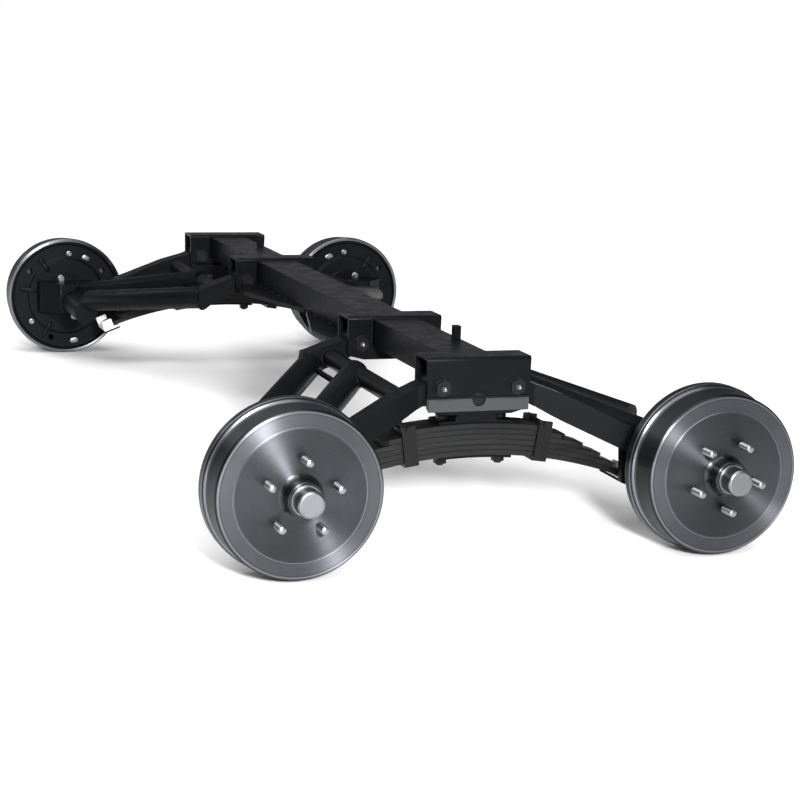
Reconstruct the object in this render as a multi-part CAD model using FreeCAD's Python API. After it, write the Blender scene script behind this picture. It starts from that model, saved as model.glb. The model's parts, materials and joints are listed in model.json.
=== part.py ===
import FreeCAD, Part
import math
import os

# Tandem load-sharing independent trailing-arm suspension for a caravan or trailer.
# Millimetres. +X is forward, +Y is the left side and +Z is up. The origin is on the ground,
# midway between the four wheel centres. Corner pieces are built in the front left quadrant
# and mirrored to the other three.

V = FreeCAD.Vector

# Running gear
WHEELBASE = 720.0            # front wheel centre to rear wheel centre
HUB_FACE_Y = 1044.0          # wheel mounting face from the centreline
LIP_R = 140.0                # back lip of the brake drum, which stands on the ground
STUD_PCD = 114.3
STUD_COUNT = 5
STUD_R = 6.35                # half-inch wheel stud
STUD_STICKOUT = 30.0
DRUM_BORE_R = 127.0          # ten-inch brake surface

# Heights above the ground
AXLE_Z = LIP_R
PIVOT_Z = AXLE_Z + 120.0     # arm pivots
ROCKER_Z = AXLE_Z + 100.0    # spring rocker pivot
HANGER_TOP = AXLE_Z + 170.0
SPRING_BOTTOM = AXLE_Z + 4.0 # underside of the main leaf at its middle

# Frame
PIVOT_X = 66.0
OUTER_Y = 821.0              # middle of the outer hangers and of the leaf springs
INNER_Y = 400.0              # middle of the inner hangers
HANGER_HALF_W = 31.0
PLATE = 5.0                  # hanger plate thickness
PLATE_IN = HANGER_HALF_W - PLATE
BEAM_HALF_W = 43.0
BEAM_H = 50.0
BEAM_WALL = 4.0
BEAM_TOP = HANGER_TOP - PLATE
BEAM_BOTTOM = BEAM_TOP - BEAM_H

# Pins and bolts
BOLT_R = 8.0                 # M16 arm pivot bolt
BOLT_HOLE_R = 8.2
BUSH_BORE_R = 8.05
BUSH_R = 17.0
EYE_R = 22.0
EYE_HALF = 23.0
PIN_R = 12.0                 # rocker pin
PIN_HOLE_R = 12.05
SIDE_GAP = 0.3               # between a bush or boss and the hanger plate

# Leaf spring
LEAF_T = 9.0
LEAF_HALF_W = 30.0
LEAF_RADIUS = 780.0          # underside of the main leaf
LEAF_HALF_LENGTHS = [301.0, 266.0, 235.0, 200.0, 165.0, 128.0]
SPRING_CENTRE = V(0, 0, SPRING_BOTTOM - LEAF_RADIUS)
PACK_TOP = SPRING_BOTTOM + LEAF_T * len(LEAF_HALF_LENGTHS)
CLIP_X = 114.0
PAD_X = 282.0                # where the leaf tip bears on its wear pad
PAD_GAP = 0.6
PAD_CROWN_R = 100.0
PAD_HALF = 19.0
PAD_BASE = 4.0
CHEEK_L = 24.0
TRAY_T = 4.0
CLAMP_X = 52.0               # bolts through the middle of the spring
CLAMP_R = 6.0
CLAMP_HALF = 66.0            # half length of the seat and clamp plates
CLAMP_T = 5.0

# Wheel end stations along Y
END_PLATE_Y = HUB_FACE_Y - 96.0
BACKING_Y = HUB_FACE_Y - 84.0
LIP_Y = HUB_FACE_Y - 81.8
BARREL_END_Y = HUB_FACE_Y - 66.0
INNER_SEAT_Y = HUB_FACE_Y - 60.0
INNER_CUP_Y = HUB_FACE_Y - 44.0
OUTER_CUP_Y = HUB_FACE_Y + 6.0
OUTER_BEARING_Y = HUB_FACE_Y + 22.0
NOSE_Y = HUB_FACE_Y + 28.0
CAP_Y = HUB_FACE_Y + 58.0
INNER_CUP_R = 29.56
OUTER_CUP_R = 22.62
RUNNING = 0.05               # radial running clearance

# Corner name: side along X, side along Y, angle of the first wheel stud in degrees
CORNERS = {
    "front_left": (1, 1, 20.0),
    "front_right": (1, -1, 59.6),
    "rear_left": (-1, 1, 40.0),
    "rear_right": (-1, -1, 14.3),
}
SIDES = {"left": 1, "right": -1}


def block(x0, x1, y0, y1, z0, z1):
    return Part.makeBox(x1 - x0, y1 - y0, z1 - z0, V(x0, y0, z0))


def rod(start, end, radius):
    axis = end - start
    return Part.makeCylinder(radius, axis.Length, start, axis)


def y_rod(x, z, y0, y1, radius):
    return rod(V(x, y0, z), V(x, y1, z), radius)


def fuse(shapes):
    return shapes[0].multiFuse(shapes[1:]).removeSplitter()


def rounded_face(corners, place):
    """Face from (u, v, radius) corners, each corner rounded by a tangent arc of its radius."""
    points = [V(u, v, 0) for u, v, _ in corners]
    count = len(points)
    ends = []
    edges = []
    for i, (_, _, radius) in enumerate(corners):
        here = points[i]
        back = (points[i - 1] - here).normalize()
        ahead = (points[(i + 1) % count] - here).normalize()
        if radius == 0:
            ends.append((here, here))
            continue
        half = back.getAngle(ahead) / 2
        start = here + back * (radius / math.tan(half))
        end = here + ahead * (radius / math.tan(half))
        bisector = (back + ahead).normalize()
        middle = here + bisector * (radius / math.sin(half) - radius)
        edges.append(Part.Arc(place(start), place(middle), place(end)).toShape())
        ends.append((start, end))
    for i in range(count):
        leave = ends[i][1]
        arrive = ends[(i + 1) % count][0]
        edges.append(Part.LineSegment(place(leave), place(arrive)).toShape())
    return Part.Face(Part.Wire(Part.__sortEdges__(edges)))


def side_plate(corners, y0, y1):
    """Plate with an outline of (x, z, radius) corners, from y0 to y1."""
    return rounded_face(corners, lambda p: V(p.x, y0, p.y)).extrude(V(0, y1 - y0, 0))


def floor_plate(corners, z0, z1):
    """Plate with an outline of (x, y, radius) corners, from z0 to z1."""
    return rounded_face(corners, lambda p: V(p.x, p.y, z0)).extrude(V(0, 0, z1 - z0))


def turned(corners, turn=360.0):
    """Solid turned about the Y axis from an outline of (radius, y, corner radius)."""
    return rounded_face(corners, lambda p: V(p.x, p.y, 0)).revolve(V(0, 0, 0), V(0, 1, 0), turn)


def hexagon(x, z, y0, y1, across_flats):
    radius = across_flats / math.sqrt(3)
    angles = [math.radians(60 * i + 30) for i in range(6)]
    points = [V(x + radius * math.cos(a), y0, z + radius * math.sin(a)) for a in angles]
    face = Part.Face(Part.makePolygon(points + points[:1]))
    return face.extrude(V(0, y1 - y0, 0))


def box_beam(sections):
    """Solid through rectangular sections of (x, middle y, middle z, half width, half height)."""
    wires = []
    for x, y, z, half_w, half_h in sections:
        points = [V(x, y - half_w, z - half_h), V(x, y + half_w, z - half_h),
                  V(x, y + half_w, z + half_h), V(x, y - half_w, z + half_h)]
        wires.append(Part.makePolygon(points + points[:1]))
    return Part.makeLoft(wires, True, True)


def round_edges(solid, radius, chosen):
    return solid.makeFillet(radius, [edge for edge in solid.Edges if chosen(edge)])


def mirrored(shape, side_x, side_y):
    if side_x < 0:
        shape = shape.mirror(V(0, 0, 0), V(1, 0, 0))
    if side_y < 0:
        shape = shape.mirror(V(0, 0, 0), V(0, 1, 0))
    return shape


def along_spring(shape, x):
    """Turn a shape built at the middle of the spring round its curve, to station x."""
    turned_shape = shape.copy()
    angle = math.degrees(math.asin(x / LEAF_RADIUS))
    turned_shape.rotate(SPRING_CENTRE, V(0, 1, 0), angle)
    return turned_shape


def write(name, solids):
    shape = solids[0] if len(solids) == 1 else Part.makeCompound(solids)
    if not shape.isValid():
        raise ValueError("invalid shape: " + name)
    shape.exportStep("parts/" + name + ".step")


# Frame -----------------------------------------------------------------------------------

def hanger(middle, outline):
    """Inverted channel: a side outline of (x, z, radius) corners, hollow below its top plate."""
    body = side_plate(outline, middle - HANGER_HALF_W, middle + HANGER_HALF_W)
    body = round_edges(body, 6.0, lambda edge: all(
        abs(v.Z - HANGER_TOP) < 0.01 for v in edge.Vertexes) and edge.Length > 100)
    inside = block(-200, 200, middle - PLATE_IN, middle + PLATE_IN, 0, HANGER_TOP - PLATE)
    body = body.cut(inside)
    for x in (-PIVOT_X, PIVOT_X):
        body = body.cut(y_rod(x, PIVOT_Z, middle - 50, middle + 50, BOLT_HOLE_R))
    return body


def stiffener(y0, y1):
    """Flat bar with a bevelled top, welded along the bottom of an outer hanger plate."""
    bottom = AXLE_Z + 80.0
    points = [V(-89, y0, bottom), V(-89, y1, bottom), V(-89, y1, bottom + 18), V(-89, y0, bottom + 23)]
    return Part.Face(Part.makePolygon(points + points[:1])).extrude(V(178, 0, 0))


def outer_hanger():
    outline = [(-92, HANGER_TOP, 0), (92, HANGER_TOP, 0), (90, AXLE_Z + 82, 6), (60, AXLE_Z + 74, 10),
               (-60, AXLE_Z + 74, 10), (-90, AXLE_Z + 82, 6)]
    outside = OUTER_Y + HANGER_HALF_W
    inside = OUTER_Y - HANGER_HALF_W
    body = fuse([hanger(OUTER_Y, outline), stiffener(outside, outside + 4), stiffener(inside, inside - 4)])
    return body.cut(y_rod(0, ROCKER_Z, inside - 10, outside + 10, PIN_HOLE_R))


def inner_hanger():
    outline = [(-91, HANGER_TOP, 0), (91, HANGER_TOP, 0), (90, AXLE_Z + 98, 8), (60, AXLE_Z + 90, 10),
               (-60, AXLE_Z + 90, 10), (-90, AXLE_Z + 98, 8)]
    window = block(-BEAM_HALF_W, BEAM_HALF_W, 0, 1000, BEAM_BOTTOM, BEAM_TOP)
    return hanger(INNER_Y, outline).cut(window)


def cross_member():
    """Rectangular tube between the outer hangers, with two small lugs for brake wiring."""
    end = OUTER_Y - HANGER_HALF_W
    tube = block(-BEAM_HALF_W, BEAM_HALF_W, -end, end, BEAM_BOTTOM, BEAM_TOP)
    bore = block(-BEAM_HALF_W + BEAM_WALL, BEAM_HALF_W - BEAM_WALL, -end, end,
                 BEAM_BOTTOM + BEAM_WALL, BEAM_TOP - BEAM_WALL)
    tube = tube.cut(bore)
    parts = [tube]
    for y in (-640.0, 640.0):
        lug = block(33, 45, y - 8, y + 8, BEAM_TOP - 1, BEAM_TOP + 22)
        parts.append(lug.cut(rod(V(30, y, BEAM_TOP + 13), V(50, y, BEAM_TOP + 13), 3.5)))
    return fuse(parts)


def gussets():
    """Four tapering plates under the cross-member, notched round the pivot nuts."""
    inboard = INNER_Y - HANGER_HALF_W
    outline = [(BEAM_HALF_W - 20, 8, 0), (BEAM_HALF_W, 8, 0), (104, 245, 30), (92, inboard, 0),
               (PIVOT_X + 18, inboard, 0), (PIVOT_X + 18, inboard - 18, 4), (PIVOT_X - 18, inboard - 18, 4),
               (PIVOT_X - 18, inboard, 0), (BEAM_HALF_W - 20, inboard, 0)]
    plate = floor_plate(outline, BEAM_BOTTOM - 8, BEAM_BOTTOM)
    return [mirrored(plate, sx, sy) for sx in (1, -1) for sy in (1, -1)]


def pivot_bolt(middle):
    """Flanged hexagon bolt along Y, with its nut as a second solid."""
    inside = middle - HANGER_HALF_W
    outside = middle + HANGER_HALF_W
    bolt = fuse([y_rod(PIVOT_X, PIVOT_Z, inside - 16, outside, BOLT_R),
                 y_rod(PIVOT_X, PIVOT_Z, outside, outside + 2.5, 15.0),
                 hexagon(PIVOT_X, PIVOT_Z, outside, outside + 11, 24.0)])
    nut = fuse([y_rod(PIVOT_X, PIVOT_Z, inside - 2.5, inside, 15.0),
                hexagon(PIVOT_X, PIVOT_Z, inside - 13, inside, 24.0)])
    return [bolt, nut.cut(y_rod(PIVOT_X, PIVOT_Z, inside - 20, inside + 5, BOLT_R))]


def rocker_pin():
    return y_rod(0, ROCKER_Z, OUTER_Y - HANGER_HALF_W, OUTER_Y + HANGER_HALF_W, PIN_R)


def write_frame():
    write("cross_member", [cross_member()])
    write("cross_member_gussets", gussets())
    for side, sy in SIDES.items():
        write("outer_hanger_" + side, [mirrored(outer_hanger(), 1, sy)])
        write("inner_hanger_" + side, [mirrored(inner_hanger(), 1, sy)])
    bolts = pivot_bolt(OUTER_Y) + pivot_bolt(INNER_Y)
    write("arm_pivot_bolts", [mirrored(b, sx, sy) for b in bolts for sx in (1, -1) for sy in (1, -1)])
    write("rocker_pins", [mirrored(rocker_pin(), 1, sy) for sy in SIDES.values()])


# Spring and rocker -----------------------------------------------------------------------

def arc_plate(radius, thickness, half_length, half_width):
    """Curved plate round the spring's centre of curvature, across the middle of the spring."""
    half_angle = half_length / radius

    def at(r, angle):
        return SPRING_CENTRE + V(r * math.sin(angle), OUTER_Y - half_width, r * math.cos(angle))

    low, high = radius, radius + thickness
    edges = [Part.Arc(at(low, -half_angle), at(low, 0), at(low, half_angle)).toShape(),
             Part.LineSegment(at(low, half_angle), at(high, half_angle)).toShape(),
             Part.Arc(at(high, half_angle), at(high, 0), at(high, -half_angle)).toShape(),
             Part.LineSegment(at(high, -half_angle), at(low, -half_angle)).toShape()]
    return Part.Face(Part.Wire(edges)).extrude(V(0, 2 * half_width, 0))


def z_rod(x, y, z0, z1, radius):
    return rod(V(x, y, z0), V(x, y, z1), radius)


def drilled_for_clamp(body):
    for x in (-CLAMP_X, CLAMP_X):
        body = body.cut(z_rod(x, OUTER_Y, 0, 400, CLAMP_R + 0.2))
    return body


def leaf(index):
    """Leaf counted from the main leaf at the bottom, with spear corners and bolt holes."""
    half_length = LEAF_HALF_LENGTHS[index]
    body = arc_plate(LEAF_RADIUS + index * LEAF_T, LEAF_T, half_length, LEAF_HALF_W)
    end = body.BoundBox.XMax
    outline = []
    for sx, sy in ((-1, -1), (1, -1), (1, 1), (-1, 1)):
        corner = [(sx * end, OUTER_Y + sy * (LEAF_HALF_W - 9), 0),
                  (sx * (end - 12), OUTER_Y + sy * LEAF_HALF_W, 0)]
        outline += corner if sx == sy else corner[::-1]
    body = body.common(floor_plate(outline, 0, 400))
    return drilled_for_clamp(body.cut(z_rod(0, OUTER_Y, 0, 400, 5.0)))


def saddle():
    """Rocking saddle: a bored boss inside the hanger, on a curved seat that clamps the spring."""
    half = PLATE_IN - SIDE_GAP
    seat = arc_plate(LEAF_RADIUS + PACK_TOP - SPRING_BOTTOM, CLAMP_T, CLAMP_HALF, half)
    foot = PACK_TOP + CLAMP_T - 2
    web = side_plate([(-38, foot, 0), (38, foot, 0), (22, ROCKER_Z, 0), (-22, ROCKER_Z, 0)],
                     OUTER_Y - half, OUTER_Y + half)
    body = fuse([seat, web, y_rod(0, ROCKER_Z, OUTER_Y - half, OUTER_Y + half, 24.0)])
    return drilled_for_clamp(body.cut(y_rod(0, ROCKER_Z, 0, 2000, PIN_R + RUNNING)))


def clamp_plate():
    plate = arc_plate(LEAF_RADIUS - CLAMP_T, CLAMP_T, CLAMP_HALF, PLATE_IN - SIDE_GAP)
    return drilled_for_clamp(plate)


def z_hexagon(x, y, z0, z1, across_flats):
    nut = hexagon(0, 0, 0, z1 - z0, across_flats)
    nut.rotate(V(0, 0, 0), V(1, 0, 0), 90)
    nut.translate(V(x, y, z0))
    return nut


def spring_bolts():
    """Two bolts through the leaves, with nuts under the clamp plate, and a locating dowel."""
    solids = [z_rod(0, OUTER_Y, SPRING_BOTTOM, PACK_TOP, 5.0)]
    nut_top = SPRING_BOTTOM - CLAMP_T - 2.6
    head_z = PACK_TOP + CLAMP_T - 1.0
    for x in (-CLAMP_X, CLAMP_X):
        shank = z_rod(x, OUTER_Y, nut_top - 13, head_z, CLAMP_R)
        solids.append(fuse([shank, z_hexagon(x, OUTER_Y, head_z, head_z + 7.5, 19.0)]))
        nut = z_hexagon(x, OUTER_Y, nut_top - 10, nut_top, 19.0)
        solids.append(nut.cut(z_rod(x, OUTER_Y, nut_top - 20, nut_top + 2, CLAMP_R)))
    return solids


def rebound_clip():
    """Strap round the leaves, with a bolt across its open top."""
    wall = 6.0
    inside = LEAF_HALF_W + 0.2
    outside = inside + wall
    low = SPRING_BOTTOM - 0.15
    top = PACK_TOP + 9.5
    strap = block(-12, 12, OUTER_Y - outside, OUTER_Y + outside, low - wall, top)
    strap = round_edges(strap, 5.0, lambda edge: all(
        abs(v.Z - low + wall) < 0.01 for v in edge.Vertexes) and edge.Length < 25)
    strap = strap.cut(block(-20, 20, OUTER_Y - inside, OUTER_Y + inside, low, top + 10))
    bolt_z = PACK_TOP + 4.5
    strap = strap.cut(y_rod(0, bolt_z, OUTER_Y - 60, OUTER_Y + 60, 3.2))
    bolt = fuse([y_rod(0, bolt_z, OUTER_Y - outside - 8, OUTER_Y + outside, 3.0),
                 hexagon(0, bolt_z, OUTER_Y + outside, OUTER_Y + outside + 4, 10.0),
                 hexagon(0, bolt_z, OUTER_Y - outside - 5, OUTER_Y - outside, 10.0)])
    return [strap, bolt]


def write_rockers():
    for side, sy in SIDES.items():
        write("main_leaf_" + side, [mirrored(leaf(0), 1, sy)])
        upper = [leaf(i) for i in range(1, len(LEAF_HALF_LENGTHS))]
        write("graduated_leaves_" + side, [mirrored(each, 1, sy) for each in upper])
        write("spring_saddle_" + side, [mirrored(saddle(), 1, sy)])
        write("spring_clamp_plate_" + side, [mirrored(clamp_plate(), 1, sy)])
        write("spring_bolts_" + side, [mirrored(each, 1, sy) for each in spring_bolts()])
        clips = [along_spring(each, x) for x in (CLIP_X, -CLIP_X) for each in rebound_clip()]
        write("rebound_clips_" + side, [mirrored(each, 1, sy) for each in clips])


# Arms ------------------------------------------------------------------------------------

# The arm's legs and cross tube lie in one plane that slopes down from the pivots
ARM_SLOPE = 0.43
BRACE_R = 24.0
AXLE_TUBE_R = 26.0
AXLE_TUBE_INNER_Y = 698.0
CROSS_TUBE_X = 120.0
CROSS_TUBE_R = 16.5
BOX_INNER_Y = 868.0


def plane_point(x, y):
    return V(x, y, PIVOT_Z - 4 - ARM_SLOPE * (x - PIVOT_X))


# Middles of the legs' sections, and ends of the slanting braces, of the front left arm
OUTER_LEG = [(70.0, OUTER_Y, PIVOT_Z - 3, 22.0, 17.0), (104.0, OUTER_Y, AXLE_Z + 102, 22.0, 18.5),
             (150.0, 836.5, AXLE_Z + 81.5, 22.0, 23.0), (345.0, 902.0, AXLE_Z - 8, 22.0, 23.0)]
INNER_LEG = [(70.0, INNER_Y, PIVOT_Z - 3, 21.0, 18.0), (168.0, INNER_Y, AXLE_Z + 78, 21.0, 22.0)]
INNER_BRACE = (V(152, 403, AXLE_Z + 79), V(350, 712, AXLE_Z + 27))
OUTER_BRACE = (plane_point(CROSS_TUBE_X, 566), V(335, 876, AXLE_Z + 22))
STRAP_X = 157.0


def pivot_eye(middle):
    return y_rod(PIVOT_X, PIVOT_Z, middle - EYE_HALF, middle + EYE_HALF, EYE_R)


def knuckle():
    """Box and flange that carry the spindle."""
    low = AXLE_Z - 28
    high = AXLE_Z + 42
    face = END_PLATE_Y - 8
    box = floor_plate([(300, BOX_INNER_Y, 6), (392, BOX_INNER_Y, 10), (432, 905, 10), (432, face, 0),
                       (300, face, 0)], low, high)
    flange = y_rod(WHEELBASE / 2, AXLE_Z, face, END_PLATE_Y, 60.0)
    return [box, flange]


def spring_tray():
    """Plate under the wear pad and the cheek that hangs it from the outer leg."""
    top = SPRING_BOTTOM - PAD_GAP - PAD_BASE
    plate = block(-PAD_HALF, PAD_HALF, OUTER_Y - 37, OUTER_Y + 52, top - TRAY_T, top)
    plate = along_spring(plate, PAD_X)
    cheek = side_plate([(256, AXLE_Z + 18, 0), (306, AXLE_Z + 8, 0), (298, AXLE_Z - 64, 4),
                        (261, AXLE_Z - 50, 4)], OUTER_Y + 40, OUTER_Y + 52)
    return [plate, cheek]


def strap():
    """Small flat bar that ties the two slanting braces together."""
    middle = plane_point(STRAP_X, 0)
    return block(STRAP_X - 5, STRAP_X + 5, 425, 590, middle.z - 3, middle.z + 3)


def arm():
    """Welded trailing arm with two pivot eyes, braces, an axle tube and a spring tray."""
    cross_z = plane_point(CROSS_TUBE_X, 0).z
    braces = [rod(INNER_BRACE[0], INNER_BRACE[1], BRACE_R), rod(OUTER_BRACE[0], OUTER_BRACE[1], BRACE_R)]
    tubes = [y_rod(CROSS_TUBE_X, cross_z, INNER_Y, OUTER_Y, CROSS_TUBE_R),
             y_rod(WHEELBASE / 2, AXLE_Z, AXLE_TUBE_INNER_Y, END_PLATE_Y - 8, AXLE_TUBE_R)]
    legs = [box_beam(OUTER_LEG), box_beam(INNER_LEG), pivot_eye(OUTER_Y), pivot_eye(INNER_Y)]
    body = fuse(legs + braces + tubes + [strap()] + knuckle() + spring_tray())
    return body.cut(y_rod(PIVOT_X, PIVOT_Z, 0, 2000, BUSH_R))


def bushes():
    """Flanged bushes in the two eyes, bored to run on the pivot bolts."""
    solids = []
    for middle in (OUTER_Y, INNER_Y):
        half = PLATE_IN - SIDE_GAP
        spool = fuse([y_rod(0, 0, middle - EYE_HALF, middle + EYE_HALF, BUSH_R),
                      y_rod(0, 0, middle - half, middle - EYE_HALF, 21.0),
                      y_rod(0, 0, middle + EYE_HALF, middle + half, 21.0)])
        spool = spool.cut(y_rod(0, 0, 0, 2000, BUSH_BORE_R))
        spool.translate(V(PIVOT_X, 0, PIVOT_Z))
        solids.append(spool)
    return solids


def wear_pad():
    """Nylon channel with a crowned floor, which the main leaf slides on."""
    top = SPRING_BOTTOM - PAD_GAP
    bottom = top - PAD_BASE
    drop = PAD_CROWN_R - math.sqrt(PAD_CROWN_R ** 2 - PAD_HALF ** 2)
    y0 = OUTER_Y - 37
    y1 = OUTER_Y + 38
    crown = Part.Arc(V(PAD_HALF, y0, top - drop), V(0, y0, top), V(-PAD_HALF, y0, top - drop)).toShape()
    rest = Part.makePolygon([V(-PAD_HALF, y0, top - drop), V(-PAD_HALF, y0, bottom),
                             V(PAD_HALF, y0, bottom), V(PAD_HALF, y0, top - drop)])
    floor = Part.Face(Part.Wire([crown] + rest.Edges)).extrude(V(0, y1 - y0, 0))
    cheek_top = SPRING_BOTTOM + LEAF_T + 10
    slot = LEAF_HALF_W + 0.5
    cheeks = [block(PAD_HALF - CHEEK_L, PAD_HALF, y0, OUTER_Y - slot, bottom, cheek_top),
              block(PAD_HALF - CHEEK_L, PAD_HALF, OUTER_Y + slot, y1, bottom, cheek_top)]
    return along_spring(fuse([floor] + cheeks), PAD_X)


def spindle():
    """Stub axle turned about Y, with its flange, bearing seats and thread, and its nut."""
    shaft = turned([(0, END_PLATE_Y, 0), (58, END_PLATE_Y, 1), (58, BACKING_Y, 1), (22, BACKING_Y, 4),
                    (22, INNER_SEAT_Y, 1), (17.5, INNER_SEAT_Y, 0), (17.5, INNER_CUP_Y + 4, 0),
                    (14, INNER_CUP_Y + 10, 0), (11, OUTER_CUP_Y, 0), (11, OUTER_BEARING_Y, 0),
                    (9.5, OUTER_BEARING_Y, 0), (9.5, OUTER_BEARING_Y + 22, 1), (0, OUTER_BEARING_Y + 22, 0)])
    nut = hexagon(0, 0, OUTER_BEARING_Y + 2, OUTER_BEARING_Y + 14, 28.0)
    nut = nut.cut(y_rod(0, 0, 0, 2000, 9.5))
    return [shaft, nut]


def backing_plate():
    """Pressed disc behind the shoes, with a turned-out rim that runs inside the drum's lip."""
    rim = DRUM_BORE_R + 4
    disc = turned([(27, BACKING_Y, 0), (90, BACKING_Y, 2), (94, BACKING_Y + 4, 3), (rim - 4, BACKING_Y + 4, 3),
                   (rim - 2, BACKING_Y - 2, 0), (rim, BACKING_Y - 2, 0), (rim, BACKING_Y + 8, 0),
                   (92, BACKING_Y + 8, 3), (88, BACKING_Y + 4, 2), (27, BACKING_Y + 4, 0)])
    for angle in (35, 145, 250):
        x = 108 * math.cos(math.radians(angle))
        z = 108 * math.sin(math.radians(angle))
        disc = disc.cut(y_rod(x, z, BACKING_Y - 10, BACKING_Y + 20, 7.0))
    return disc


def brake_gear():
    """Two lined shoes, their anchor post and the electromagnet."""
    y0 = HUB_FACE_Y - 64
    y1 = HUB_FACE_Y - 20
    web_y = (y0 + y1) / 2
    lining_r = DRUM_BORE_R - 0.8
    section = [(lining_r, y0, 0), (lining_r, y1, 0), (lining_r - 9, y1, 0), (lining_r - 9, web_y + 3, 0),
               (93, web_y + 3, 0), (93, web_y - 3, 0), (lining_r - 9, web_y - 3, 0), (lining_r - 9, y0, 0)]
    solids = []
    for middle in (0, 180):
        shoe = turned(section, 112.0)
        shoe.rotate(V(0, 0, 0), V(0, 1, 0), middle - 56)
        solids.append(shoe)
    solids.append(y_rod(0, 104, BACKING_Y + 8, web_y + 8, 9.0))
    solids.append(y_rod(0, -76, web_y + 4, HUB_FACE_Y - 21, 26.0))
    return solids


def at_axle(shape, side_x, side_y):
    """Place a shape turned about the Y axis at a wheel centre."""
    placed = mirrored(shape, 1, side_y)
    placed.translate(V(side_x * WHEELBASE / 2, 0, AXLE_Z))
    return placed


def write_arms():
    for corner, (sx, sy, _) in CORNERS.items():
        write("arm_" + corner, [mirrored(arm(), sx, sy)])
        write("arm_bushes_" + corner, [mirrored(each, sx, sy) for each in bushes()])
        write("wear_pad_" + corner, [mirrored(wear_pad(), sx, sy)])
        write("spindle_" + corner, [at_axle(each, sx, sy) for each in spindle()])
        write("backing_plate_" + corner, [at_axle(backing_plate(), sx, sy)])
        write("brake_gear_" + corner, [at_axle(each, sx, sy) for each in brake_gear()])


# Hubs ------------------------------------------------------------------------------------

def stud_places(first_angle):
    angles = [math.radians(first_angle + i * 360 / STUD_COUNT) for i in range(STUD_COUNT)]
    return [(STUD_PCD / 2 * math.cos(a), STUD_PCD / 2 * math.sin(a)) for a in angles]


def drum(first_angle):
    """Brake drum and hub in one casting, machined on its rim and face."""
    web_y = HUB_FACE_Y - 14
    step_y = HUB_FACE_Y - 1.5
    body = turned([(133, LIP_Y, 0), (LIP_R, LIP_Y, 3), (LIP_R, LIP_Y + 18, 2), (137.9, LIP_Y + 23.2, 1),
                   (133.9, LIP_Y + 25, 2), (133.9, step_y, 5), (106.4, step_y, 0), (105.6, HUB_FACE_Y, 0.4),
                   (30, HUB_FACE_Y, 7), (29, NOSE_Y, 2), (OUTER_CUP_R, NOSE_Y, 0), (OUTER_CUP_R, OUTER_CUP_Y, 0),
                   (20, OUTER_CUP_Y, 0), (20, INNER_CUP_Y, 0), (INNER_CUP_R, INNER_CUP_Y, 0),
                   (INNER_CUP_R, BARREL_END_Y, 0), (38, BARREL_END_Y, 2), (40, web_y, 8), (118, web_y, 10),
                   (DRUM_BORE_R, web_y + 2, 4), (DRUM_BORE_R, LIP_Y + 12, 0), (133, LIP_Y + 10, 1)])
    for x, z in stud_places(first_angle):
        body = body.cut(y_rod(x, z, web_y - 5, HUB_FACE_Y + 5, STUD_R))
    return body


def wheel_studs(first_angle):
    web_y = HUB_FACE_Y - 14
    end = HUB_FACE_Y + STUD_STICKOUT
    stud = turned([(0, web_y - 5, 0), (10, web_y - 5, 1), (10, web_y, 0), (STUD_R, web_y, 0), (STUD_R, end - 2, 0),
                   (STUD_R - 1.5, end, 0), (0, end, 0)])
    solids = []
    for x, z in stud_places(first_angle):
        placed = stud.copy()
        placed.translate(V(x, 0, z))
        solids.append(placed)
    return solids


def grease_cap():
    skirt = OUTER_BEARING_Y + 1
    return turned([(20.5, skirt, 0), (OUTER_CUP_R, skirt, 0), (OUTER_CUP_R, NOSE_Y, 0), (24.5, NOSE_Y, 0),
                   (24.5, NOSE_Y + 2.5, 1), (22, NOSE_Y + 2.5, 0), (22, CAP_Y, 5), (0, CAP_Y, 0), (0, CAP_Y - 2, 0),
                   (20.5, CAP_Y - 2, 3)])


def wheel_bearings():
    """Inner and outer bearing, each as one ring, and the grease seal."""
    rings = [(17.5 + RUNNING, INNER_CUP_R, INNER_SEAT_Y, INNER_CUP_Y),
             (11 + RUNNING, OUTER_CUP_R, OUTER_CUP_Y, OUTER_BEARING_Y),
             (22 + RUNNING, INNER_CUP_R, BARREL_END_Y, INNER_SEAT_Y)]
    return [turned([(r0, y0, 0), (r1, y0, 0), (r1, y1, 0), (r0, y1, 0)]) for r0, r1, y0, y1 in rings]


def write_hubs():
    for corner, (sx, sy, angle) in CORNERS.items():
        write("brake_drum_" + corner, [at_axle(drum(angle), sx, sy)])
        write("wheel_studs_" + corner, [at_axle(each, sx, sy) for each in wheel_studs(angle)])
        write("grease_cap_" + corner, [at_axle(grease_cap(), sx, sy)])
        write("wheel_bearings_" + corner, [at_axle(each, sx, sy) for each in wheel_bearings()])


os.makedirs("parts", exist_ok=True)
write_frame()
write_rockers()
write_arms()
write_hubs()
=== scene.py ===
import json
import math
import random

import bmesh
import bpy
from mathutils import Matrix, Vector
from mathutils.bvhtree import BVHTree


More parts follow.
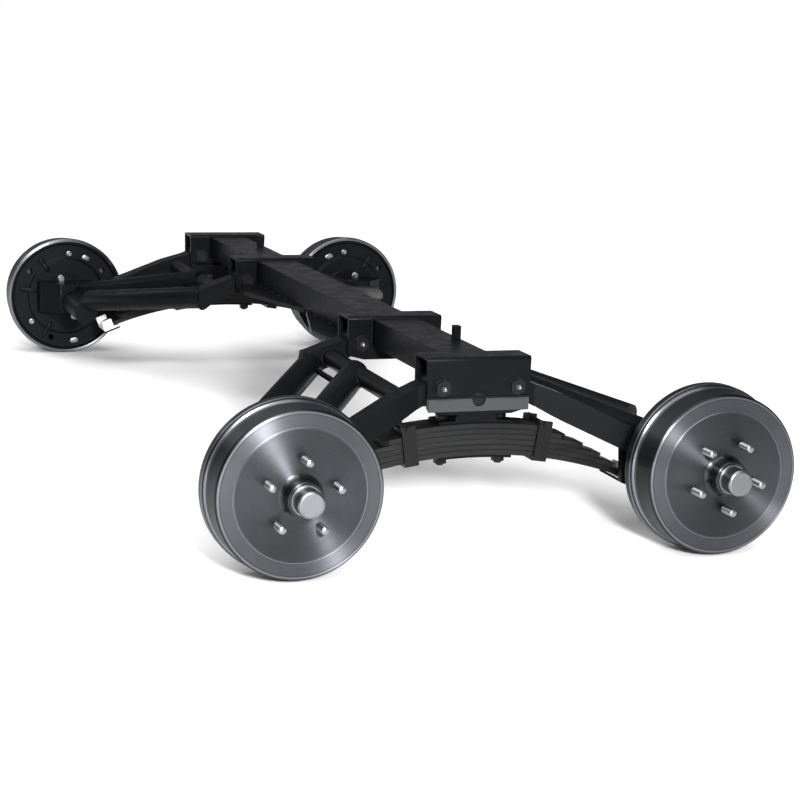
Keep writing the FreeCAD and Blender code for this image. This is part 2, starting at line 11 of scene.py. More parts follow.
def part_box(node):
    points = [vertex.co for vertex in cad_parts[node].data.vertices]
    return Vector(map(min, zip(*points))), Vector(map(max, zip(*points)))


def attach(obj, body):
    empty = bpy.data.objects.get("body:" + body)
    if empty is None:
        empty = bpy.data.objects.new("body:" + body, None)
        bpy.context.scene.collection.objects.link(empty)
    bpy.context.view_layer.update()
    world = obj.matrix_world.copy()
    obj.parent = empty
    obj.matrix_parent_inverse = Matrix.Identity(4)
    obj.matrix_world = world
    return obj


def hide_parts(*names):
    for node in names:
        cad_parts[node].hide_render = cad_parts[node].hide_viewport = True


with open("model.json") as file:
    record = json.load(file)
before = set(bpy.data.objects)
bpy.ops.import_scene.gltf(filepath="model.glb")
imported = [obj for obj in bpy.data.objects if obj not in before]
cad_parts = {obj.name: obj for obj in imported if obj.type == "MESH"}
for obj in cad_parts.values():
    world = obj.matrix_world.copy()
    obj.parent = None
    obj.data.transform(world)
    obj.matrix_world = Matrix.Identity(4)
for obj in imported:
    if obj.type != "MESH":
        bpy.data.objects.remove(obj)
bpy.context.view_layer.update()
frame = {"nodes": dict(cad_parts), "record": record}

# Looks of a tandem trailing-arm caravan suspension. Metres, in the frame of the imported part:
# +X forward, +Y left, +Z up. Corner details are laid out for the front left corner and mirrored.

random.seed(7)

CORNERS = {"front_left": (1, 1), "front_right": (1, -1), "rear_left": (-1, 1), "rear_right": (-1, -1)}
SIDES = {"left": 1, "right": -1}


# Places, from the frame ------------------------------------------------------------------

def middle(node):
    low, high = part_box(node)
    return (low + high) / 2


MM = 0.001
HUB = middle("brake_drum_front_left")
FLANGE_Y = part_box("spindle_front_left")[0].y
BACKING_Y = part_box("backing_plate_front_left")[0].y
BEAM_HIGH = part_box("cross_member")[1]
HANGER_LOW, HANGER_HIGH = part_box("outer_hanger_left")
INNER_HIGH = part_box("inner_hanger_left")[1]
PIVOT = middle("arm_bushes_front_left")
HANGER_HALF_W = 31 * MM
HANGER_PLATE_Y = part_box("rocker_pins")[1].y
OUTER_Y = HANGER_PLATE_Y - HANGER_HALF_W
INNER_Y = middle("inner_hanger_left").y
ROCKER_Z = middle("rocker_pins").z
STUD_R = 6.35 * MM
STUD_CIRCLE_R = 57.15 * MM
STUD_OUT = 30 * MM
AXLE_TUBE_R = 26 * MM
CROSS_TUBE_X = 120 * MM
CROSS_TUBE_R = 16.5 * MM
BRACE_R = 24 * MM
INNER_BRACE = (Vector((152, 403, 219)) * MM, Vector((350, 712, 167)) * MM)
ARM_SLOPE = 0.43
STITCHES = 7
FLANGE_BOLT_R = 49 * MM


# Materials -------------------------------------------------------------------------------

class Look:
    """A material's node tree, with short ways to add nodes and join them."""

    def __init__(self, name, color, metallic, roughness):
        self.material = bpy.data.materials.new(name)
        self.material.use_nodes = True
        self.tree = self.material.node_tree
        self.shader = self.tree.nodes["Principled BSDF"]
        self.coords = self.tree.nodes.new("ShaderNodeTexCoord").outputs["Object"]
        self.set("Base Color", (*color, 1))
        self.set("Metallic", metallic)
        self.set("Roughness", roughness)

    def set(self, socket, value):
        self.shader.inputs[socket].default_value = value

    def node(self, kind, inputs=(), **settings):
        made = self.tree.nodes.new(kind)
        for name, value in settings.items():
            setattr(made, name, value)
        for socket, value in dict(inputs).items():
            if isinstance(value, bpy.types.NodeSocket):
                self.tree.links.new(value, made.inputs[socket])
            else:
                made.inputs[socket].default_value = value
        return made

    def drive(self, socket, value):
        self.tree.links.new(value, self.shader.inputs[socket])

    def stretched(self, scale):
        inputs = {0: self.coords, 1: scale}
        return self.node("ShaderNodeVectorMath", inputs, operation="MULTIPLY").outputs[0]

    def noise(self, scale, detail=3.0, vector=None, roughness=0.55):
        inputs = {"Vector": vector or self.coords, "Scale": scale, "Detail": detail, "Roughness": roughness}
        return self.node("ShaderNodeTexNoise", inputs).outputs["Fac"]

    def spread(self, value, low, high, from_low=0.3, from_high=0.7):
        inputs = {"Value": value, "From Min": from_low, "From Max": from_high,
                  "To Min": low, "To Max": high}
        return self.node("ShaderNodeMapRange", inputs).outputs[0]

    def ramp(self, value, stops):
        made = self.node("ShaderNodeValToRGB", {"Fac": value})
        elements = made.color_ramp.elements
        while len(elements) < len(stops):
            elements.new(0.5)
        for element, (place, color) in zip(elements, stops):
            element.position = place
            element.color = (*color, 1)
        return made.outputs["Color"]

    def bump(self, height, strength, distance, under=None):
        inputs = {"Height": height, "Strength": strength, "Distance": distance}
        if under:
            inputs["Normal"] = under
        return self.node("ShaderNodeBump", inputs).outputs["Normal"]

    def calc(self, operation, *values):
        return self.node("ShaderNodeMath", dict(enumerate(values)), operation=operation).outputs[0]

    def mix(self, factor, under, over, blend="MIX"):
        inputs = {0: factor, 6: under, 7: over}
        return self.node("ShaderNodeMix", inputs, data_type="RGBA", blend_type=blend).outputs[2]

    def largest(self, values):
        best = values[0]
        for value in values[1:]:
            best = self.calc("MAXIMUM", best, value)
        return best

    def away_from(self, value, place):
        """How far a value is from a place, either side."""
        return self.calc("ABSOLUTE", self.calc("SUBTRACT", value, place))

    def position(self):
        return self.node("ShaderNodeSeparateXYZ", {0: self.coords}).outputs

    def radius_about(self, centre):
        """Distance from a line along Y through the centre."""
        offset = self.node("ShaderNodeVectorMath", {0: self.coords, 1: tuple(centre)}, operation="SUBTRACT")
        flat = self.node("ShaderNodeVectorMath", {0: offset.outputs[0], 1: (1, 0, 1)}, operation="MULTIPLY")
        return self.node("ShaderNodeVectorMath", {0: flat.outputs[0]}, operation="LENGTH").outputs["Value"]


def shade(color, factor):
    return tuple(min(1.0, c * factor) for c in color)


def paint(name, color, roughness, specular=0.055, band=None):
    """Sprayed paint: orange peel, slow colour drift, dull handling marks in the gloss and,
    between two heights if a band is given, a painted highlight: a paler colour on the outboard welded bar
    only."""
    look = Look(name, color, 0.0, roughness)
    drift = look.noise(7.0, 4.0)
    tone = look.ramp(drift, [(0.3, shade(color, 0.75)), (0.55, color), (0.8, shade(color, 1.5))])
    # Painted highlight: a paler colour on outboard faces between the band's heights, where the welded bar
    # catches the light.
    if band:
        half = (band[1] - band[0]) / 2
        place = look.position()
        level = look.spread(look.away_from(place["Z"], sum(band) / 2), 1.0, 0.0, 0.86 * half, half)
        outboard = look.spread(look.calc("ABSOLUTE", place["Y"]), 0.0, 1.0, OUTER_Y, OUTER_Y + 5 * MM)
        tone = look.mix(look.calc("MULTIPLY", level, outboard), tone, (*BAR_HIGHLIGHT_COLOR, 1))
    look.drive("Base Color", tone)
    marks = look.noise(38.0, 6.0, roughness=0.7)
    look.drive("Roughness", look.spread(marks, roughness - 0.06, roughness + 0.14, 0.35, 0.75))
    peel = look.bump(look.noise(420.0, 2.0), 0.10, 0.4 * MM)
    look.drive("Normal", look.bump(look.noise(60.0, 2.0), 0.05, 1.0 * MM, peel))
    look.set("Specular IOR Level", specular)
    return look.material


def spring_paint(name, color, roughness):
    """Thin paint over rolled bar, with marks that run along the leaves."""
    look = Look(name, color, 0.0, roughness)
    look.set("Specular IOR Level", 0.15)
    along = look.noise(30.0, 5.0, look.stretched((0.25, 1.0, 6.0)), 0.65)
    tones = [(0.3, shade(color, 0.6)), (0.55, color), (0.75, shade(color, 1.9))]
    look.drive("Base Color", look.ramp(along, tones))
    look.drive("Roughness", look.spread(along, roughness - 0.08, roughness + 0.12))
    fine = look.bump(look.noise(300.0, 3.0, look.stretched((0.4, 1, 1))), 0.18, 0.4 * MM)
    look.drive("Normal", fine)
    return look.material


def plated(name, color, roughness):
    """Zinc plating or bare turned steel, with fine mottling."""
    look = Look(name, color, 1.0, roughness)
    mottle = look.noise(160.0, 4.0)
    look.drive("Base Color", look.ramp(mottle, [(0.3, shade(color, 0.93)), (0.7, shade(color, 1.03))]))
    look.drive("Roughness", look.spread(mottle, roughness - 0.03, roughness + 0.06))
    look.drive("Normal", look.bump(look.noise(500.0, 2.0), 0.03, 0.1 * MM))
    return look.material


def machined_and_highlit(name, color, roughness, centre):
    """Turned iron: tool marks in rings about the axle line, a highlight that fans from the hub,
    and painted highlights, a brighter base colour, on the lip, the shoulder and the edges of the face."""
    look = Look(name, color, 1.0, roughness)
    radius = look.radius_about(centre)
    rings = look.node("ShaderNodeTexNoise", {"W": radius, "Scale": 900.0, "Detail": 4.0},
                      noise_dimensions="1D").outputs["Fac"]
    cloud = look.noise(11.0, 4.0)
    dark = look.ramp(cloud, [(0.3, shade(color, 0.84)), (0.55, color), (0.8, shade(color, 1.15))])
    dark = look.mix(1.0, dark, look.ramp(radius, DRUM_ZONES), "MULTIPLY")
    depth = look.away_from(look.position()["Y"], centre[1])
    # Painted highlights: masks for the bright lines on the lip and the shoulder, and for the ring at the
    # plateau's edge
    edges = [band_mask(look, depth, place, width) for place, width in HIGHLIGHT_STATIONS]
    barrel = look.spread(radius, 0.0, 1.0, BARREL_R - 1 * MM, BARREL_R + 1 * MM)
    barrel_highlights = look.calc("MULTIPLY", look.largest(edges), barrel)
    plateau = band_mask(look, radius, PLATEAU_R, 1.3 * MM)
    # Painted highlight: the base colour is made 1.7 times brighter under those masks
    highlight_color = (*shade(color, 1.7), 1)
    look.drive("Base Color", look.mix(look.largest([barrel_highlights, plateau]), dark, highlight_color))
    look.drive("Roughness", look.spread(rings, roughness - 0.07, roughness + 0.09))
    tooled = look.bump(rings, 0.10, 0.15 * MM)
    look.drive("Normal", look.bump(look.noise(240.0, 2.0), 0.05, 0.3 * MM, tooled))
    look.set("Anisotropic", 0.92)
    look.set("Anisotropic Rotation", 0.25)
    tangent = look.node("ShaderNodeTangent", direction_type="RADIAL", axis="Y")
    look.drive("Tangent", tangent.outputs[0])
    return look.material


def band_mask(look, value, place, half_width):
    """One at a place along a value, falling to zero over half a width either side."""
    return look.spread(look.away_from(value, place), 1.0, 0.0, 0.4 * half_width, half_width)


def moulded(name, color, roughness, glow):
    """Nylon or rubber, with a faint moulded texture."""
    look = Look(name, color, 0.0, roughness)
    cloud = look.noise(45.0, 3.0)
    look.drive("Base Color", look.ramp(cloud, [(0.3, shade(color, 0.9)), (0.7, shade(color, 1.05))]))
    look.drive("Roughness", look.spread(cloud, roughness - 0.05, roughness + 0.08))
    look.drive("Normal", look.bump(look.noise(900.0, 2.0), 0.08, 0.2 * MM))
    look.set("Subsurface Weight", glow)
    look.set("Subsurface Radius", (0.002, 0.002, 0.002))
    return look.material


# Painted highlights on the drum's turned edges, a brighter base colour: distance from its middle along the
# axle, and half width
DRUM_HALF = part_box("brake_drum_front_left")[1].y - HUB.y
HIGHLIGHT_STATIONS = [(DRUM_HALF, 3.0 * MM), (DRUM_HALF - 18.0 * MM, 2.2 * MM),
                   (DRUM_HALF - 24.5 * MM, 1.6 * MM), (26.0 * MM, 1.5 * MM)]
PLATEAU_R = 106.0 * MM
BARREL_R = 128.0 * MM
# How dark the drum is by radius: plateau of the face, its outer ring, and the barrel
DRUM_ZONES = [(105.0 * MM, (0.47, 0.47, 0.47)), (106.5 * MM, (0.78, 0.78, 0.78)),
              (126.2 * MM, (0.78, 0.78, 0.78)), (128.5 * MM, (0.27, 0.27, 0.27))]
DRUM_COLOR = (0.086, 0.089, 0.098)
FRAME_COLOR = (0.0026, 0.0029, 0.0040)
# Painted highlight on the outboard welded bar of each outer hanger: its paler colour, and the heights it
# covers
BAR_HIGHLIGHT_COLOR = (0.033, 0.035, 0.037)
BAR_HIGHLIGHT_BAND = (HANGER_LOW.z + 5.5 * MM, HANGER_LOW.z + 28.0 * MM)
LOOKS = {
    "black_paint": paint("frame_paint", FRAME_COLOR, 0.36),
    "hanger_paint_and_highlight": paint("hanger_paint_and_highlight", FRAME_COLOR, 0.36, band=BAR_HIGHLIGHT_BAND),
    "arm_paint": paint("arm_paint", (0.0026, 0.0029, 0.0036), 0.38),
    "spring_steel": spring_paint("spring_paint", (0.0058, 0.0060, 0.0060), 0.46),
    "black_fastener": paint("fastener_black", (0.004, 0.004, 0.0045), 0.36, 0.13),
    "stud_zinc": plated("stud_zinc", (0.21, 0.215, 0.223), 0.30),
    "cap_steel": plated("cap_steel", (0.15, 0.155, 0.163), 0.32),
    "backing_paint": paint("backing_paint", (0.0026, 0.0031, 0.0042), 0.40, 0.07),
    "brake_lining": moulded("brake_lining", (0.06, 0.05, 0.045), 0.75, 0.0),
    "bush": moulded("bush_nylon", (0.05, 0.05, 0.055), 0.5, 0.0),
    "nylon": moulded("pad_nylon", (0.86, 0.86, 0.83), 0.42, 0.15),
    "bare_steel": plated("bare_steel", (0.45, 0.45, 0.45), 0.35),
}
for corner in CORNERS:
    centre = middle("brake_drum_" + corner)
    LOOKS["drum_" + corner] = machined_and_highlit("drum_iron_" + corner, DRUM_COLOR, 0.33, centre)


# Finish of the CAD nodes -----------------------------------------------------------------

# Edge rounding by slot, in millimetres
BEVELS = {"black_paint": 1.0, "arm_paint": 1.2, "spring_steel": 1.3, "black_fastener": 0.6, "nylon": 0.8}


def node_look(name, slot):
    if slot == "drum_iron":
        return LOOKS["drum_" + name[len("brake_drum_"):]]
    return LOOKS["hanger_paint_and_highlight" if name.startswith("outer_hanger") else slot]


def finish_node(name, slot):
    """Give a node its material and, on painted sheet and bar, softly rounded edges."""
    node = frame["nodes"][name]
    node.data.materials.clear()
    node.data.materials.append(node_look(name, slot))
    if slot not in BEVELS:
        return
    weld = node.modifiers.new("weld", "WELD")
    weld.merge_threshold = 0.02 * MM
    bevel = node.modifiers.new("soft edges", "BEVEL")
    bevel.width = BEVELS[slot] * MM
    bevel.segments = 2
    bevel.limit_method = "ANGLE"
    bevel.angle_limit = math.radians(38)
    bevel.use_clamp_overlap = True
    bevel.harden_normals = True


for part in frame["record"]["subparts"]:
    finish_node(part["node"], part["material_slot"])


# Mesh helpers ----------------------------------------------------------------------------

def mirror_matrix(side_x, side_y):
    return Matrix.Diagonal((side_x, side_y, 1, 1))


class Mesh:
    """Vertices and faces that grow shape by shape, then become one piece."""

    def __init__(self):
        self.verts = []
        self.faces = []

    def add(self, verts, faces, place=Matrix.Identity(4)):
        start = len(self.verts)
        self.verts += [place @ Vector(v) for v in verts]
        self.faces += [tuple(start + i for i in face) for face in faces]

    def rings(self, rings, closed_ends=True, place=Matrix.Identity(4)):
        """Skin through rings with equal numbers of points."""
        count = len(rings[0])
        faces = []
        for i in range(len(rings) - 1):
            for j in range(count):
                k = (j + 1) % count
                faces.append((i * count + j, i * count + k, (i + 1) * count + k, (i + 1) * count + j))
        if closed_ends:
            faces.append(tuple(reversed(range(count))))
            faces.append(tuple((len(rings) - 1) * count + j for j in range(count)))
        self.add([p for ring in rings for p in ring], faces, place)

    def lathe(self, profile, sides, place, phase=0.0):
        """Turn a profile of (radius, height) about the local Z axis."""
        angles = [phase + 2 * math.pi * j / sides for j in range(sides)]
        rings = [[(r * math.cos(a), r * math.sin(a), z) for a in angles] for r, z in profile]
        self.rings(rings, True, place)

    def bead(self, path, radius, loop):
        """Weld bead along a path: a rippled tube, half sunk in the joint."""
        points = resampled([Vector(p) for p in path], radius * 0.32, loop)
        if len(points) < 4:
            return
        rings = []
        up = Vector((0.31, 0.17, 0.93)).normalized()
        for i, here in enumerate(points):
            ahead = points[(i + 1) % len(points)] if loop else points[min(i + 1, len(points) - 1)]
            behind = points[i - 1] if loop or i else points[0]
            along = (ahead - behind).normalized()
            across = along.cross(up).normalized() if abs(along.dot(up)) < 0.98 else along.orthogonal()
            normal = across.cross(along)
            up = normal
            ripple = 1.0 + 0.13 * math.sin(i * 1.05) + 0.05 * (random.random() - 0.5)
            taper = 1.0 if loop else min(1.0, 0.35 + 0.25 * min(i, len(points) - 1 - i))
            r = radius * ripple * taper
            angles = [2 * math.pi * j / 8 for j in range(8)]
            rings.append([here + across * r * math.cos(a) + normal * r * math.sin(a) for a in angles])
        if loop:
            rings.append(rings[0])
        self.rings(rings, not loop)

    def piece(self, name, body, slot, look=None, sharp=35.0):
        mesh = bpy.data.meshes.new(name)
        mesh.from_pydata([tuple(v) for v in self.verts], [], self.faces)
        made = bmesh.new()
        made.from_mesh(mesh)
        bmesh.ops.remove_doubles(made, verts=made.verts, dist=1e-6)
        bmesh.ops.recalc_face_normals(made, faces=made.faces)
        made.to_mesh(mesh)
        made.free()
        mesh.shade_smooth()
        mesh.set_sharp_from_angle(angle=math.radians(sharp))
        mesh.materials.append(look or LOOKS[slot])
        thing = bpy.data.objects.new(name, mesh)
        bpy.context.scene.collection.objects.link(thing)
        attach(thing, body)
        return thing


def resampled(points, step, loop):
    """Points at an even step along a line of straight runs."""
    if loop:
        points = points + points[:1]
    result = [points[0]]
    left_over = 0.0
    for start, end in zip(points, points[1:]):
        length = (end - start).length
        if length < 1e-9:
            continue
        travelled = step - left_over
        while travelled <= length:
            result.append(start.lerp(end, travelled / length))
            travelled += step
        left_over = length - (travelled - step)
    return result[:-1] if loop and len(result) > 3 else result


def along_y(x, y, z, towards=1):
    """Place whose local Z axis points along +Y, or -Y."""
    turn = Matrix.Rotation(math.radians(-90 * towards), 4, "X")
    return Matrix.Translation((x, y, z)) @ turn


# Details ---------------------------------------------------------------------------------

def hex_head(mesh, place, across, height, washer):
    """Hexagon head with a flange washer and a chamfered, slightly dished top."""
    flange = [(washer, 0), (washer, 1.2 * MM), (washer * 0.9, 2.0 * MM), (across * 0.5, 2.4 * MM)]
    mesh.lathe(flange, 32, place)
    corner = across / math.sqrt(3)
    mesh.lathe([(corner, 1.0 * MM), (corner, height - 1.0 * MM), (across / 2 * 0.97, height),
                (across / 2 * 0.7, height), (across / 2 * 0.62, height - 0.5 * MM)], 6, place, 0.26)


def nipple(mesh, place):
    """Grease nipple: hexagon foot, waisted neck and rounded tip."""
    mesh.lathe([(4.6 * MM, 0), (4.6 * MM, 3.0 * MM), (4.0 * MM, 3.6 * MM)], 6, place)
    mesh.lathe([(3.1 * MM, 3.0 * MM), (2.3 * MM, 4.6 * MM), (2.2 * MM, 6.2 * MM), (3.1 * MM, 7.0 * MM),
                (3.2 * MM, 8.4 * MM), (2.2 * MM, 9.6 * MM), (1.0 * MM, 10.0 * MM)], 20, place)


def oval_plug(mesh, place, half_length, half_width, height):
    """Rubber or pressed plug with rounded ends and a domed top."""
    rings = []
    for scale, z in ((1.0, 0.0), (1.0, 0.45), (0.93, 0.8), (0.78, 0.97), (0.4, 1.0)):
        ring = []
        for j in range(36):
            a = 2 * math.pi * j / 36
            end_x = (half_length - half_width) * (1 if math.cos(a) > 0 else -1)
            x = end_x * scale + half_width * scale * math.cos(a)
            ring.append((x, half_width * scale * math.sin(a), z * height))
        rings.append(ring)
    mesh.rings(rings, True, place)


def pivot_nipples():
    """Grease nipples in the middle of the arm pivot bolts' heads."""
    mesh = Mesh()
    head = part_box("arm_pivot_bolts")[1].y
    inner_head = INNER_HIGH.y + head - HANGER_PLATE_Y
    for side_y in SIDES.values():
        for side_x in (1, -1):
            for y in (head, inner_head):
                nipple(mesh, along_y(side_x * PIVOT.x, side_y * y, PIVOT.z, side_y))
    mesh.piece("pivot_grease_nipples", "frame", "stud_zinc", sharp=30)


def hanger_plugs():
    """Small plated plugs in the inboard faces of the hangers."""
    mesh = Mesh()
    dome = [(4.5 * MM, 0), (4.5 * MM, 1.0 * MM), (3.4 * MM, 2.2 * MM), (1.5 * MM, 2.8 * MM)]
    for side_y in SIDES.values():
        for low in (OUTER_Y - HANGER_HALF_W, INNER_Y - HANGER_HALF_W):
            place = along_y(-27 * MM, side_y * low, ROCKER_Z + 56 * MM, -side_y)
            mesh.lathe(dome, 24, place)
    mesh.piece("hanger_plugs", "frame", "stud_zinc", sharp=30)


def thread_rings(radius, depth, pitch, length, sides=28):
    """Rings of a single-start thread with a chamfered end."""
    rings = []
    steps = int(length / (pitch / 5))
    for i in range(steps + 1):
        z = length * i / steps
        ring = []
        for j in range(sides):
            a = 2 * math.pi * j / sides
            phase = (z / pitch - j / sides) % 1.0
            r = radius - depth * (1 - abs(2 * phase - 1))
            r = min(r, radius - depth * 1.4 + (length - z) * 0.9)
            ring.append((r * math.cos(a), r * math.sin(a), z))
        rings.append(ring)
    return rings


def stud_angles(corner, centre, tip):
    """Angle of each stud about the hub, found from the ends of the plain ones."""
    node = frame["nodes"]["wheel_studs_" + corner]
    tips = [v.co for v in node.data.vertices if abs(abs(v.co.y) - tip) < 0.1 * MM]
    angles = sorted(round(math.degrees(math.atan2(p.z - centre.z, p.x - centre.x)) % 360, 1) for p in tips)
    starts = [a for i, a in enumerate(angles) if a - angles[i - 1] > 30 or a < angles[i - 1]]
    found = []
    for start in starts:
        cluster = [a for a in angles if (a - start) % 360 < 30]
        unrolled = [(a - cluster[0] + 180) % 360 - 180 for a in cluster]
        found.append(math.radians(cluster[0] + (min(unrolled) + max(unrolled)) / 2))
    return found


def threaded_studs(corner, side_y):
    """Wheel studs with rolled threads, in place of the plain ones."""
    mesh = Mesh()
    low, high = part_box("wheel_studs_" + corner)
    centre = middle("brake_drum_" + corner)
    tip = max(abs(low.y), abs(high.y))
    back = min(abs(low.y), abs(high.y))
    head = [(9 * MM, 0), (10 * MM, 1 * MM), (10 * MM, 5 * MM), (STUD_R, 5 * MM), (STUD_R, 20 * MM)]
    thread = thread_rings(STUD_R, 0.55 * MM, 1.27 * MM, STUD_OUT)
    for a in stud_angles(corner, centre, tip):
        x = centre.x + STUD_CIRCLE_R * math.cos(a)
        z = centre.z + STUD_CIRCLE_R * math.sin(a)
        mesh.lathe(head, 28, along_y(x, side_y * back, z, side_y))
        mesh.rings(thread, True, along_y(x, side_y * (tip - STUD_OUT), z, side_y))
    studs = mesh.piece("threaded_studs_" + corner, "hub_" + corner, "stud_zinc", sharp=50)
    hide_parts("wheel_studs_" + corner)


def brake_hardware(corner, side_x, side_y):
    """Flange bolts, small bolts and oval plugs on the inboard side of a backing plate."""
    place = mirror_matrix(side_x, side_y)
    bright = Mesh()
    for angle in (70, 160, 250, 340):
        a = math.radians(angle)
        x = HUB.x + FLANGE_BOLT_R * math.cos(a)
        z = HUB.z + FLANGE_BOLT_R * math.sin(a)
        hex_head(bright, place @ along_y(x, FLANGE_Y - 8 * MM, z, -1), 14 * MM, 8 * MM, 9 * MM)
    for x, z in ((-7, 104), (-104, -20), (84, -62)):
        spot = place @ along_y(HUB.x + x * MM, BACKING_Y + 5 * MM, HUB.z + z * MM, -1)
        hex_head(bright, spot, 10 * MM, 6.5 * MM, 7 * MM)
    for x, z, turn in ((-48, 93, 24), (-20, -110, 170)):
        spot = place @ along_y(HUB.x + x * MM, BACKING_Y + 5.5 * MM, HUB.z + z * MM, -1)
        oval_plug(bright, spot @ Matrix.Rotation(math.radians(turn), 4, "Z"), 11 * MM, 7 * MM, 4 * MM)
    bright.piece("brake_bolts_" + corner, "trailing_arm_" + corner, "stud_zinc", sharp=30)


def backing_ribs(corner, side_x, side_y):
    """Pressed stiffening ribs on the inboard side of a backing plate."""
    place = mirror_matrix(side_x, side_y)
    mesh = Mesh()
    for angle in (10, 55, 190, 222, 300):
        a = math.radians(angle)
        rings = []
        for i in range(13):
            t = i / 12
            r = (72 + 44 * t) * MM
            width = 6 * MM * math.sqrt(max(0.05, 1 - (2 * t - 1) ** 4))
            rise = 2.6 * MM * math.sqrt(max(0.02, 1 - (2 * t - 1) ** 6))
            ring = []
            for j in range(10):
                b = math.pi * j / 9
                side = width * math.cos(b)
                x = HUB.x + r * math.cos(a) - side * math.sin(a)
                z = HUB.z + r * math.sin(a) + side * math.cos(a)
                base = BACKING_Y + (2.5 if r > 92 * MM else 0.6) * MM
                ring.append((x, base - rise * math.sin(b), z))
            rings.append(ring)
        mesh.rings(rings, True, place)
    mesh.piece("backing_ribs_" + corner, "trailing_arm_" + corner, "backing_paint", sharp=50)


# Welds -----------------------------------------------------------------------------------

def ring_path(x, y, z, radius):
    angles = [2 * math.pi * i / 48 for i in range(48)]
    return [(x + radius * math.cos(a), y, z + radius * math.sin(a)) for a in angles]


def beam_beads(mesh, side_y, low, high):
    """Round the beam, at each hanger plate that it meets."""
    half = BEAM_HIGH.x
    for y in (OUTER_Y - HANGER_HALF_W, INNER_Y + HANGER_HALF_W, INNER_Y - HANGER_HALF_W):
        for side_x in (1, -1):
            x = side_x * (half + 0.6 * MM)
            mesh.bead([(x, side_y * y, low), (x, side_y * y, high)], 2.6 * MM, False)
        for z in (low, high):
            mesh.bead([(-half, side_y * y, z), (half, side_y * y, z)], 2.4 * MM, False)


def gusset_beads(mesh, side_y, low, far):
    """Stitches along both sides of the beam, over the gusset plates."""
    for side_x in (1, -1):
        start = Vector((side_x * BEAM_HIGH.x, side_y * 14 * MM, low))
        end = Vector((side_x * BEAM_HIGH.x, side_y * far, low))
        for i in range(STITCHES):
            run = [start.lerp(end, (i + 0.15) / STITCHES), start.lerp(end, (i + 0.62) / STITCHES)]
            mesh.bead(run, 2.6 * MM, False)


def outer_hanger_beads(mesh, side_y):
    """Over the welded bars at the bottom of an outer hanger, and round the rocker pin."""
    reach = 88 * MM
    z = HANGER_LOW.z + 29 * MM
    for y in (OUTER_Y + HANGER_HALF_W + 0.5 * MM, OUTER_Y - HANGER_HALF_W - 0.5 * MM):
        mesh.bead([(-reach, side_y * y, z), (reach, side_y * y, z)], 1.8 * MM, False)
    for y in (OUTER_Y + HANGER_HALF_W, OUTER_Y - HANGER_HALF_W):
        mesh.bead(ring_path(0, side_y * y, ROCKER_Z, 12.5 * MM), 2.0 * MM, True)


def frame_welds():
    """All beads on the cross-member and its hangers, as one piece."""
    mesh = Mesh()
    gusset_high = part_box("cross_member_gussets")[1]
    for side_y in SIDES.values():
        beam_beads(mesh, side_y, gusset_high.z, HANGER_HIGH.z - 5 * MM)
        gusset_beads(mesh, side_y, gusset_high.z, gusset_high.y - 4 * MM)
        outer_hanger_beads(mesh, side_y)
    mesh.piece("frame_welds", "frame", "black_paint", sharp=60)


def circle_offsets(direction, radius, count=40):
    across = direction.orthogonal().normalized()
    up = across.cross(direction).normalized()
    angles = [2 * math.pi * i / count for i in range(count)]
    return [across * radius * math.cos(a) + up * radius * math.sin(a) for a in angles]


def runs_of(points, jump):
    """Split a loop of points, some missing, into unbroken runs."""
    if all(points) and all((a - b).length < jump for a, b in zip(points, points[1:] + points[:1])):
        return [(points, True)]
    breaks = [i for i in range(len(points)) if points[i] is None or points[i - 1] is None
              or (points[i] - points[i - 1]).length >= jump]
    if not breaks:
        return [(points, True)]
    points = points[breaks[0]:] + points[:breaks[0]]
    runs = []
    run = []
    for point in points:
        if point is None or (run and (point - run[-1]).length >= jump):
            runs.append(run)
            run = []
        if point is not None:
            run.append(point)
    runs.append(run)
    return [(run, False) for run in runs if len(run) > 3]


def arm_seams():
    """Start, end and radius of each look along a tube, towards the joint at its end."""
    cross_z = PIVOT.z - 4 * MM - ARM_SLOPE * (CROSS_TUBE_X - PIVOT.x)
    outer_brace = (Vector((CROSS_TUBE_X, 566 * MM, cross_z)), Vector((335, 876, 162)) * MM)
    seams = []
    for ends in (INNER_BRACE, outer_brace):
        half_way = (ends[0] + ends[1]) / 2
        seams += [(half_way, end, BRACE_R) for end in ends]
    for start_y, end_y in ((660 * MM, 800 * MM), (490 * MM, 420 * MM)):
        start = Vector((CROSS_TUBE_X, start_y, cross_z))
        seams.append((start, Vector((CROSS_TUBE_X, end_y, cross_z)), CROSS_TUBE_R))
    seams.append((Vector((HUB.x, 745 * MM, HUB.z)), Vector((HUB.x, 868 * MM, HUB.z)), AXLE_TUBE_R))
    return seams


def seam(mesh, tree, start, end, radius):
    """Bead where rays along a tube's surface meet the arm."""
    direction = (end - start).normalized()
    reach = (end - start).length + 0.12
    found = []
    for offset in circle_offsets(direction, radius + 0.5 * MM):
        found.append(tree.ray_cast(start + offset, direction, reach)[0])
    for run, loop in runs_of(found, 12 * MM):
        mesh.bead(run, 2.8 * MM, loop)


def arm_welds(corner, side_x, side_y):
    """Beads where the arm's tubes meet its other members, found on the arm's own surface."""
    node = frame["nodes"]["arm_" + corner]
    node.data.calc_loop_triangles()
    corners = [v.co.copy() for v in node.data.vertices]
    tree = BVHTree.FromPolygons(corners, [tuple(t.vertices) for t in node.data.loop_triangles])
    flip = mirror_matrix(side_x, side_y)
    mesh = Mesh()
    for start, end, radius in arm_seams():
        seam(mesh, tree, flip @ start, flip @ end, radius)
    mesh.piece("arm_welds_" + corner, "trailing_arm_" + corner, "arm_paint", sharp=60)


pivot_nipples()
hanger_plugs()
frame_welds()
for corner, (side_x, side_y) in CORNERS.items():
    threaded_studs(corner, side_y)
    brake_hardware(corner, side_x, side_y)
    backing_ribs(corner, side_x, side_y)
    arm_welds(corner, side_x, side_y)


# Studio ----------------------------------------------------------------------------------

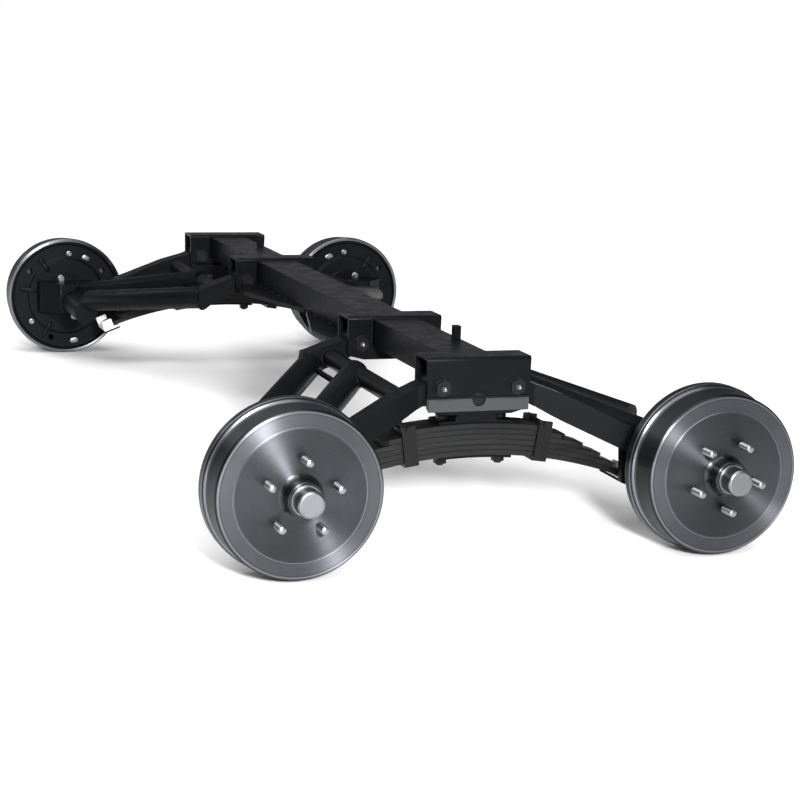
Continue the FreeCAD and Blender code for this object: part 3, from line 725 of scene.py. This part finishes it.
def studio_floor():
    look = Look("studio_floor", (0.93, 0.93, 0.93), 0.0, 0.6)
    cloud = look.noise(0.8, 2.0)
    look.drive("Base Color", look.ramp(cloud, [(0.2, (0.92, 0.92, 0.92)), (0.8, (0.94, 0.94, 0.94))]))
    reach = 60.0
    mesh = bpy.data.meshes.new("studio_floor")
    outline = [(-reach, -reach, 0), (reach, -reach, 0), (reach, reach, 0), (-reach, reach, 0)]
    mesh.from_pydata(outline, [], [(0, 1, 2, 3)])
    mesh.materials.append(look.material)
    floor = bpy.data.objects.new("studio_floor", mesh)
    floor.location.z = -0.5 * MM
    bpy.context.scene.collection.objects.link(floor)


def studio_world():
    """Dim room above a bright horizon, so that painted tops stay dark and the backdrop stays pale."""
    world = bpy.data.worlds.new("studio")
    world.use_nodes = True
    nodes = world.node_tree.nodes
    links = world.node_tree.links
    direction = nodes.new("ShaderNodeTexCoord").outputs["Generated"]
    height = nodes.new("ShaderNodeSeparateXYZ")
    links.new(direction, height.inputs[0])
    ramp = nodes.new("ShaderNodeValToRGB")
    links.new(height.outputs["Z"], ramp.inputs["Fac"])
    stops = ramp.color_ramp.elements
    stops[0].position, stops[0].color = 0.03, (1.0, 1.0, 1.0, 1)
    stops[1].position, stops[1].color = 0.12, (0.26, 0.26, 0.27, 1)
    links.new(ramp.outputs["Color"], nodes["Background"].inputs["Color"])
    nodes["Background"].inputs["Strength"].default_value = 1.0
    bpy.context.scene.world = world


def overhead_light():
    """Very wide, even light from above, like a large soft box over the whole set."""
    lamp = bpy.data.lights.new("overhead", "SUN")
    lamp.energy = 3.5
    lamp.angle = math.radians(70)
    thing = bpy.data.objects.new("overhead", lamp)
    thing.rotation_euler = (math.radians(22), math.radians(-14), 0)
    bpy.context.scene.collection.objects.link(thing)


def soft_light(name, place, aim, size, power):
    lamp = bpy.data.lights.new(name, "AREA")
    lamp.shape = "RECTANGLE"
    lamp.size, lamp.size_y = size
    lamp.energy = power
    thing = bpy.data.objects.new(name, lamp)
    thing.location = place
    thing.rotation_euler = (Vector(aim) - Vector(place)).to_track_quat("-Z", "Y").to_euler()
    bpy.context.scene.collection.objects.link(thing)


LENS = 88.43
CAMERA_PLACE = (-1.2079, -3.8000, 0.8771)
CAMERA_ANGLES = (0.3482, 0.1997, 0.0392)


def camera():
    """Long lens from the right rear, a little above, rolled by just over two degrees."""
    turn, drop, roll = CAMERA_ANGLES
    ahead = Vector((math.sin(turn) * math.cos(drop), math.cos(turn) * math.cos(drop), -math.sin(drop)))
    level = Vector((math.cos(turn), -math.sin(turn), 0))
    top = Vector((math.sin(turn) * math.sin(drop), math.cos(turn) * math.sin(drop), math.cos(drop)))
    right = level * math.cos(roll) + top * math.sin(roll)
    up = top * math.cos(roll) - level * math.sin(roll)
    lens = bpy.data.cameras.new("camera")
    lens.sensor_width = 36.0
    lens.lens = LENS
    lens.clip_end = 200.0
    thing = bpy.data.objects.new("camera", lens)
    turned = Matrix((right, up, -ahead)).transposed().to_4x4()
    thing.matrix_world = Matrix.Translation(CAMERA_PLACE) @ turned
    bpy.context.scene.collection.objects.link(thing)
    bpy.context.scene.camera = thing


studio_floor()
studio_world()
overhead_light()
soft_light("front", (-0.56, -3.85, 1.19), (-0.36, -1.10, 0.14), (0.36, 0.36), 240)
soft_light("back_left", (-2.4, 3.0, 2.0), (0, 0, 0.2), (1.6, 0.8), 14)
camera()
bpy.context.scene.view_settings.view_transform = "Standard"
